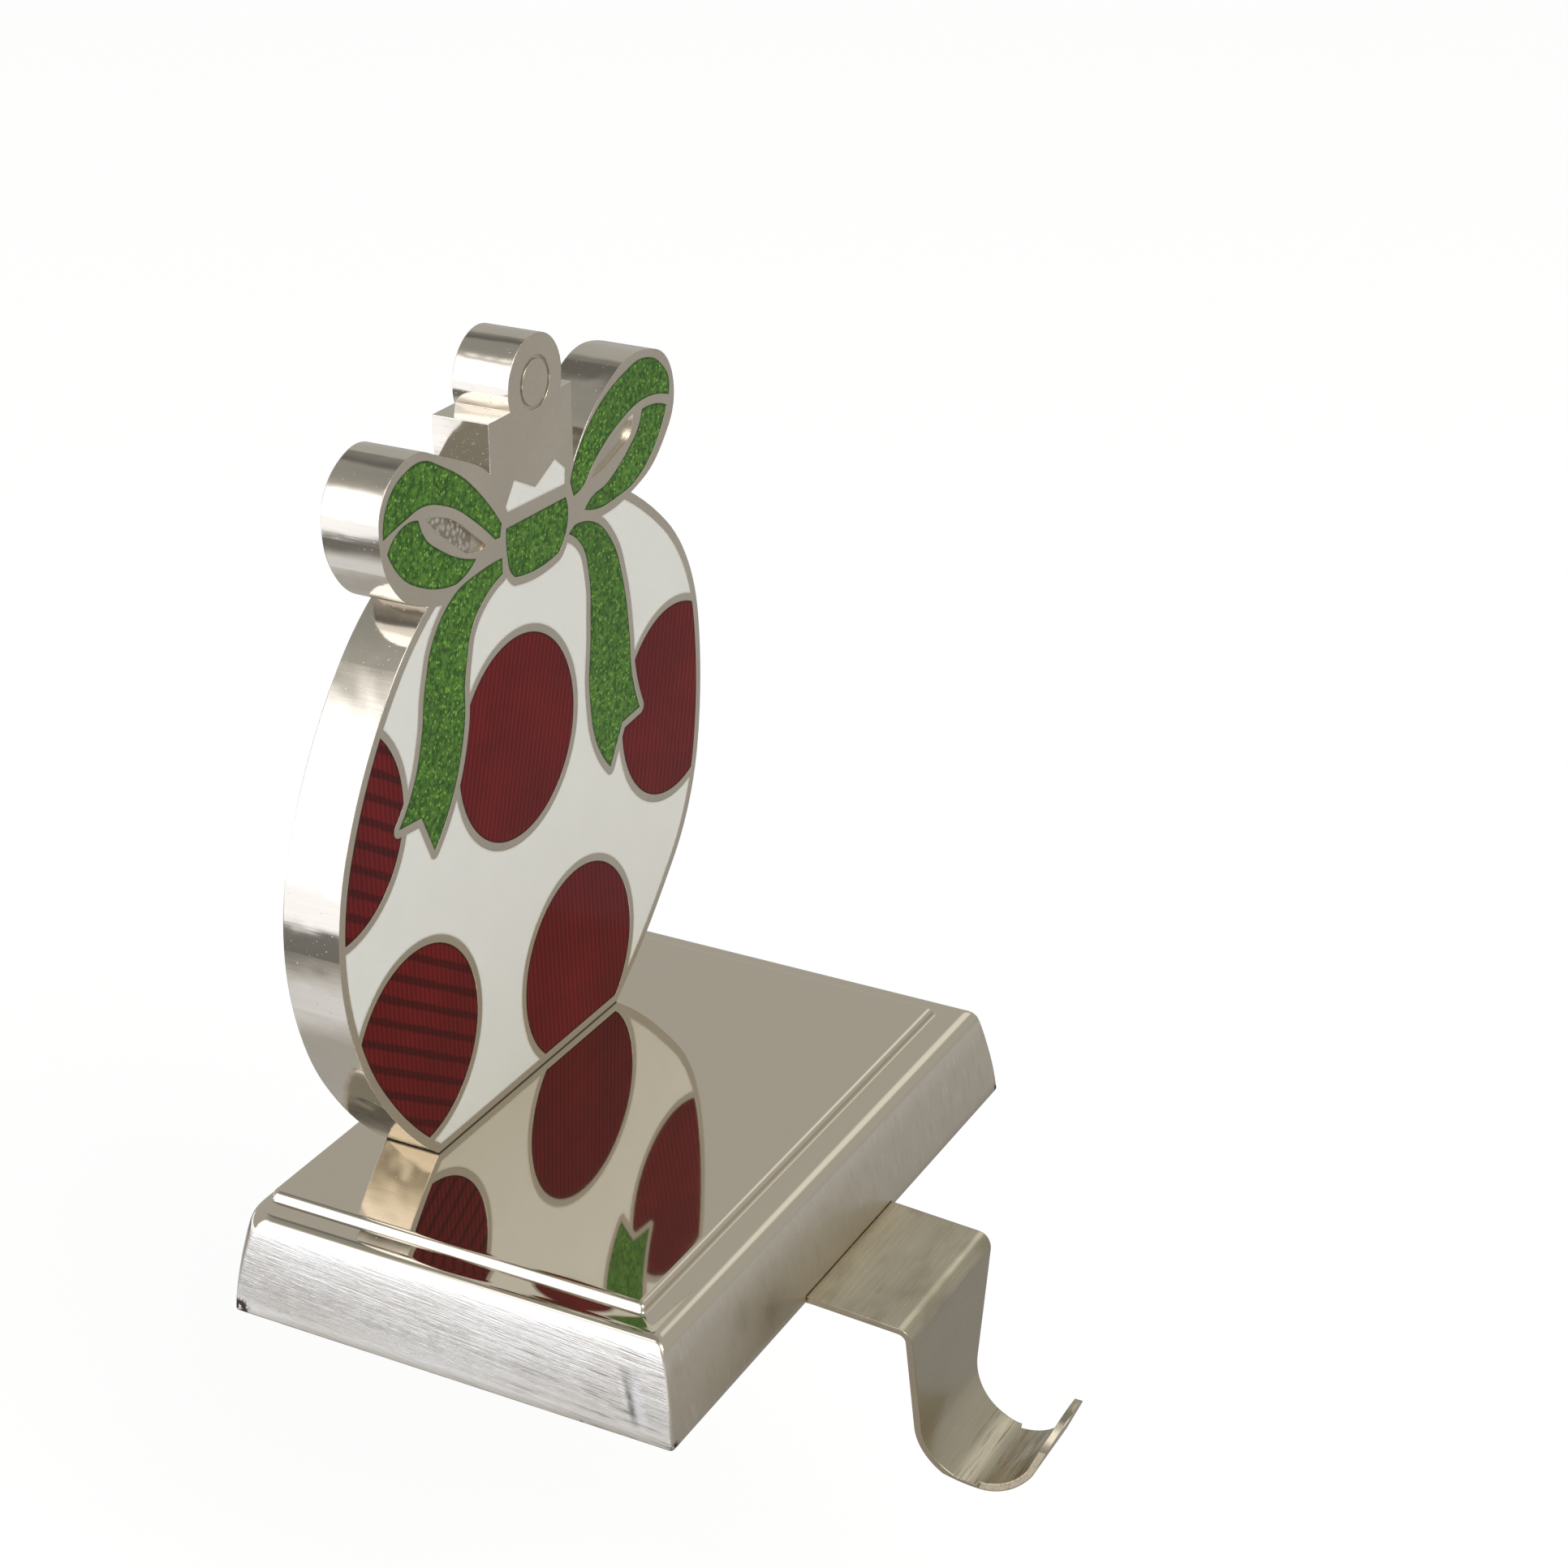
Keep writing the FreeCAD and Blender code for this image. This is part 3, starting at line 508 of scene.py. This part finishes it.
# The cast base: convex walls, a soft shoulder, a narrow ledge and the raised plateau.
# Each ring is its height, how far the sides, front and back stand in from the foot,
# and the radii of the back-left corner and of the other three.
FOOT_X, FOOT_Y = 49.3, 33.0
BASE_RINGS = [
    (0.00, 0.30, 0.30, 0.20, 0.5, 0.5), (0.12, 0.10, 0.10, 0.06, 0.5, 0.5),
    (0.40, 0.00, 0.00, 0.00, 0.5, 0.5), (2.00, 0.16, 0.18, 0.04, 0.5, 0.5),
    (4.00, 0.42, 0.46, 0.08, 0.8, 0.5), (6.00, 0.76, 0.80, 0.13, 1.2, 0.5),
    (8.00, 1.16, 1.20, 0.18, 1.7, 0.5), (9.50, 1.46, 1.52, 0.24, 2.2, 0.5),
    (11.0, 1.78, 1.88, 0.30, 2.7, 0.5), (12.1, 2.04, 2.18, 0.38, 3.1, 0.5),
    (12.9, 2.28, 2.48, 0.52, 3.5, 0.5), (13.4, 2.54, 2.82, 0.76, 3.8, 0.6),
    (13.7, 2.84, 3.20, 1.02, 4.0, 0.7), (13.9, 3.22, 3.70, 1.26, 3.8, 0.8),
    (13.98, 3.56, 4.14, 1.42, 3.4, 0.8), (14.0, 3.90, 4.56, 1.52, 3.0, 0.7),
    (14.0, 4.00, 4.66, 1.54, 3.0, 0.7), (14.0, 6.20, 7.34, 1.72, 1.4, 0.6),
    (14.03, 6.34, 7.47, 1.80, 1.3, 0.5), (14.10, 6.44, 7.55, 1.86, 1.2, 0.5),
    (14.22, 6.52, 7.60, 1.92, 1.1, 0.5), (14.45, 6.60, 7.63, 1.97, 1.0, 0.5),
    (14.70, 6.70, 7.68, 2.04, 1.0, 0.5), (14.90, 6.80, 7.76, 2.12, 1.0, 0.5),
    (15.03, 6.92, 7.88, 2.24, 0.9, 0.5), (15.12, 7.07, 8.04, 2.38, 0.9, 0.4),
    (15.18, 7.25, 8.24, 2.56, 0.8, 0.4), (15.20, 7.45, 8.46, 2.76, 0.7, 0.4),
    (15.20, 7.60, 8.60, 2.90, 0.6, 0.4)]
CORNER_STEPS, POST_SIDES = 8, 32
SHARP_ANGLE = 30  # degrees

# What shapes the blank: boxes by two corners, posts by their radius, foot and head
PAD_SPACE = (-47.1, -30.8, -1.0), (47.1, 30.8, 1.0)
HOLLOW = (-44.1, -26.2, 0.5), (44.1, 29.4, 12.0)
STRIP_SLOT = (-13.15, -34.0, -1.0), (13.15, -29.6, 1.15)
BOSS_PLACES, BOSS, BOSS_BORE = [(-6.5, -20.0), (6.5, -20.0)], (4.5, 1.0, 12.5), (1.5, 0.0, 8.5)
TOP_HOLE_PLACES, TOP_HOLE = [(-13.0, 20.6), (13.0, 20.6)], (2.1, 11.0, 17.0)


def ring_points(height, sides, front, back, back_left, others):
    """A rounded rectangle at a height, anticlockwise from its front right corner."""
    points = []
    corners = ((1, -1, front, others), (1, 1, back, others),
               (-1, 1, back, back_left), (-1, -1, front, others))
    for quarter, (sx, sy, inset, radius) in enumerate(corners):
        for i in range(CORNER_STEPS + 1):
            turn = math.pi / 2 * (quarter - 1 + i / CORNER_STEPS)
            points.append((sx * (FOOT_X - sides - radius) + radius * math.cos(turn),
                           sy * (FOOT_Y - inset - radius) + radius * math.sin(turn), height))
    return points


def metres(points):
    return [tuple(v / MM for v in point) for point in points]


def stack(name, rings):
    """A closed solid through rings of points, from the lowest up."""
    count = len(rings[0])
    top = (len(rings) - 1) * count
    ends = [tuple(reversed(range(count))), tuple(range(top, top + count))]
    return mesh_object(name, metres(point for ring in rings for point in ring),
                       ring_faces(len(rings), count) + ends)


def block(name, low, high):
    """A box between two corners."""
    corners = [(x, y, z) for x in (low[X], high[X]) for y in (low[Y], high[Y])
               for z in (low[Z], high[Z])]
    return mesh_object(name, metres(corners), [(0, 1, 3, 2), (4, 6, 7, 5), (0, 4, 5, 1),
                                               (2, 3, 7, 6), (0, 2, 6, 4), (1, 5, 7, 3)])


def post(name, place, radius, foot, head):
    """An upright round bar."""
    x, y = place
    return stack(name, [[(x + radius * math.cos(a), y + radius * math.sin(a), z)
                         for a in round_turn(POST_SIDES)] for z in (foot, head)])


def posts(name, operation, places, shape):
    return [(operation, post(f"{name}_{i}", place, *shape)) for i, place in enumerate(places)]


def cast_base(material):
    """The base as one hollow casting with its bosses, screw holes and the slot for the strip."""
    solid = stack("cast_base_blank", [ring_points(*ring) for ring in BASE_RINGS])
    tools = [("DIFFERENCE", block("pad_space", *PAD_SPACE)),
             ("DIFFERENCE", block("hollow", *HOLLOW)),
             ("DIFFERENCE", block("strip_slot", *STRIP_SLOT))]
    tools += posts("boss", "UNION", BOSS_PLACES, BOSS)
    tools += posts("boss_bore", "DIFFERENCE", BOSS_PLACES, BOSS_BORE)
    tools += posts("top_hole", "DIFFERENCE", TOP_HOLE_PLACES, TOP_HOLE)
    for operation, tool in tools:
        boolean = solid.modifiers.new(tool.name, "BOOLEAN")
        boolean.operation, boolean.solver, boolean.object = operation, "EXACT", tool
    shaped = solid.evaluated_get(bpy.context.evaluated_depsgraph_get())
    mesh = bpy.data.meshes.new_from_object(shaped)
    for thing in [solid] + [tool for _, tool in tools]:
        bpy.data.objects.remove(thing)
    mesh.name = "cast_base"
    mesh.shade_smooth()
    mesh.set_sharp_from_angle(angle=math.radians(SHARP_ANGLE))
    dress(mesh, material)
    piece = placed("cast_base", mesh)
    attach(piece, "root")
    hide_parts("base_shell")


# The pieces in their finishes

RED_GROUNDS = {  # angle and pitch of the lines; angle, pitch and depth of the bands
    "top": (-16, 1.05, 80, 9.0, 0.06), "right": (-12, 1.2, 70, 8.0, 0.08),
    "lower_right": (3, 1.1, 80, 10.0, 0.06),
    "left": (1, 1.0, 58, 3.0, 0.75), "lower_left": (1, 1.0, 58, 3.0, 0.75)}

cast_base(plated_base())
dressing = {"figure_casting": plated_figure(), "hook_strip": plated_strip(),
            "base_pad": tan_felt()}
dressing["hook_screws"] = dressing["figure_screws"] = bright_steel(
    "zinc screw steel", SCREW_STEEL, SCREW_STEEL_SHADE, 0.9, 0.28)
dressing["ballast_plate"] = bright_steel(
    "ballast steel", BALLAST_STEEL, BALLAST_STEEL_SHADE, 0.12, 0.45)
for prefix, enamel in (("white_", white_enamel()), ("green_", green_enamel())):
    dressing.update((name, enamel) for name in nodes if name.startswith(prefix))
for dot, ground in RED_GROUNDS.items():
    dressing[f"red_dot_{dot}"] = red_enamel(f"red enamel {dot.replace('_', ' ')}", *ground)
for name, material in dressing.items():
    dress(nodes[name].data, material)


# Studio: a pale floor well under the hook, and a tent of warm grey cards round it all

FLOOR_DROP = 0.045
FLOOR_Z = cad_box[0][Z] - FLOOR_DROP
TENT_RADIUS, TENT_ROUND, TENT_UP = 4.0, 48, 14
FLOOR_SIDE, TABLE_SIDE, TABLE_LIFT = TENT_RADIUS * 1.02, TENT_RADIUS * 0.95, 0.001
PAPER, LIT_PAPER, LIT_SHARE = (0.90, 0.90, 0.90), 1.08, 0.80
WARM_CARD, WARM_TABLE, DAYLIGHT = (1.0, 0.985, 0.92), (1.0, 0.98, 0.94), (0.91, 0.93, 1.0)
CARD_LEVEL, TABLE_LEVEL, WINDOW_LEVEL, SKYLIGHT_SHARE = 0.475, 0.44, 1.9, 0.8
WINDOW_WAY = -0.85, 0.52  # in plan, as are the next two
TABLE_LEFT, TABLE_FRONT = (-0.89, 0.45), (0.5, -0.87)
# A card is the direction of its middle and its half width and softness in degrees
SKYLIGHT = (-0.47, 0.38, 0.80), 6, 3
CARDS = [  # and how much brighter it is than the rest
    ((0.36, 0.52, 0.78), 8, 4, -0.22), ((0.0, 0.3, 1.0), 24, 10, -0.14),
    ((-0.5, -0.8, 0.9), 24, 12, 0.70), ((0.80, -0.04, 0.60), 11, 5, 0.45)]


def tent_mesh():
    """A dome of rings of points from the floor up, closed by one point overhead."""
    vertices = [(TENT_RADIUS * math.cos(e) * math.cos(a), TENT_RADIUS * math.cos(e) * math.sin(a),
                 TENT_RADIUS * math.sin(e) + FLOOR_Z)
                for e in round_turn(4 * TENT_UP)[:TENT_UP] for a in round_turn(TENT_ROUND)]
    vertices.append((0, 0, TENT_RADIUS + FLOOR_Z))
    last, peak = (TENT_UP - 1) * TENT_ROUND, TENT_UP * TENT_ROUND
    inward = [face[::-1] for face in ring_faces(TENT_UP, TENT_ROUND)]
    cap = [(last + i, peak, last + (i + 1) % TENT_ROUND) for i in range(TENT_ROUND)]
    return mesh_object("tent", vertices, inward + cap)


def sheet(name, side, height):
    corners = [(side * x, side * y, height) for x, y in ((-1, -1), (1, -1), (1, 1), (-1, 1))]
    return mesh_object(name, corners, [(0, 1, 2, 3)])


def floor_finish():
    """White paper that looks lit to the camera, in reflections and through clear materials."""
    finish = Finish("floor paper")
    direct, mirrored, through = (finish.node("LightPath", out=f"Is {kind} Ray")
                                 for kind in ("Camera", "Glossy", "Transmission"))
    paper = finish.node("BsdfDiffuse", None, Color=PAPER)
    lit_paper = finish.node("Emission", None, Color=(1.0, 1.0, 1.0), Strength=LIT_PAPER)
    share = direct.max(mirrored).max(through) * LIT_SHARE
    return finish.finished(finish.node("MixShader", None, share, paper, lit_paper))


def tent_finish():
    """Warm grey cards all round, a tall cool window on the left and a darker gap overhead."""
    finish = Finish("grey cards")
    toward = finish.node("VectorMath", {"operation": "NORMALIZE"}, finish.object_place())
    dx, dy, dz = finish.parts(toward)

    def card(way, wide, soft):
        middle = tuple(Vector(way).normalized())
        near = finish.node("VectorMath", {"operation": "DOT_PRODUCT"}, toward, middle, out="Value")
        return near.step(math.cos(math.radians(wide + soft)), math.cos(math.radians(wide - soft)))

    ahead = dx * WINDOW_WAY[X] + dy * WINDOW_WAY[Y]
    across = abs(dx * WINDOW_WAY[Y] - dy * WINDOW_WAY[X])
    window = ahead.step(0.10, 0.30) * across.step(0.52, 0.36) * dz.step(0.74, 0.58)
    window = window.max(card(*SKYLIGHT) * SKYLIGHT_SHARE)
    level = window * WINDOW_LEVEL + CARD_LEVEL
    for *shape, brighter in CARDS:
        level = level + card(*shape) * brighter
    return finish.glow(finish.blend(window, WARM_CARD, DAYLIGHT), level)


def table_finish():
    """The grey table top that the plating mirrors: lighter on the left, with a dim band."""
    finish = Finish("grey table")
    place = finish.object_place()
    x, y = finish.part(place, X), finish.part(place, Y)
    far = finish.node("VectorMath", {"operation": "LENGTH"}, place, out="Value")
    left = (x * TABLE_LEFT[X] + y * TABLE_LEFT[Y]).step(0.02, 0.14)
    front = (x * TABLE_FRONT[X] + y * TABLE_FRONT[Y]).step(0.0, 0.05)
    near_light = far.step(0.14, 0.175) * far.step(0.26, 0.20) * 0.45
    lit = left * (far.step(0.45, 0.54) * 1.02 + near_light)
    dim = left * far.step(0.24, 0.30) * far.step(0.50, 0.45) * 0.24
    level = lit - dim - front * far.step(0.26, 0.16) * 0.10 + TABLE_LEVEL
    return finish.glow(finish.blend(lit * 1.8, WARM_TABLE, DAYLIGHT), level)


floor = sheet("floor", FLOOR_SIDE, FLOOR_Z)
dress(floor.data, floor_finish())
tent = tent_mesh()
dress(tent.data, tent_finish())
tent.visible_camera = False
table = sheet("table", TABLE_SIDE, FLOOR_Z + TABLE_LIFT)
dress(table.data, table_finish())
table.visible_camera = table.visible_diffuse = False
table.visible_shadow = table.visible_transmission = False

world = bpy.data.worlds.new("studio")
bpy.context.scene.world = world
world.use_nodes = True
background = world.node_tree.nodes["Background"].inputs
background["Color"].default_value = (1.0, 1.0, 1.0, 1.0)
background["Strength"].default_value = 1.0

LAMP_PLACE, LAMP_TARGET = Vector((-0.55, -1.25, 1.25)), Vector((0, 0, 0.05))
LAMP_SIDE, LAMP_POWER = 0.9, 10.0
lamp = bpy.data.lights.new("key", "AREA")
lamp.shape, lamp.size, lamp.energy = "SQUARE", LAMP_SIDE, LAMP_POWER
key = placed("key", lamp)
key.location = LAMP_PLACE
key.rotation_euler = (LAMP_TARGET - LAMP_PLACE).to_track_quat("-Z", "Y").to_euler()


# Camera at the photograph's viewing angle

FRAME_PIXELS, FOCAL_PIXELS = 1932, 3834.8
CAMERA_PLACE = -0.32006, -0.18785, 0.23648
CAMERA_RIGHT = Vector((0.45968, -0.888081, 0.00261))
CAMERA_UP = Vector((0.374948, 0.196739, 0.905929))
lens = bpy.data.cameras.new("camera")
lens.sensor_width = 36.0
lens.lens = FOCAL_PIXELS / FRAME_PIXELS * lens.sensor_width
lens.clip_start, lens.clip_end = 0.01, 50.0
camera = placed("camera", lens)
axes = Matrix((CAMERA_RIGHT, CAMERA_UP, CAMERA_RIGHT.cross(CAMERA_UP)))
camera.matrix_world = Matrix.Translation(CAMERA_PLACE) @ axes.transposed().to_4x4()
bpy.context.scene.camera = camera
bpy.context.scene.view_settings.view_transform = "Standard"
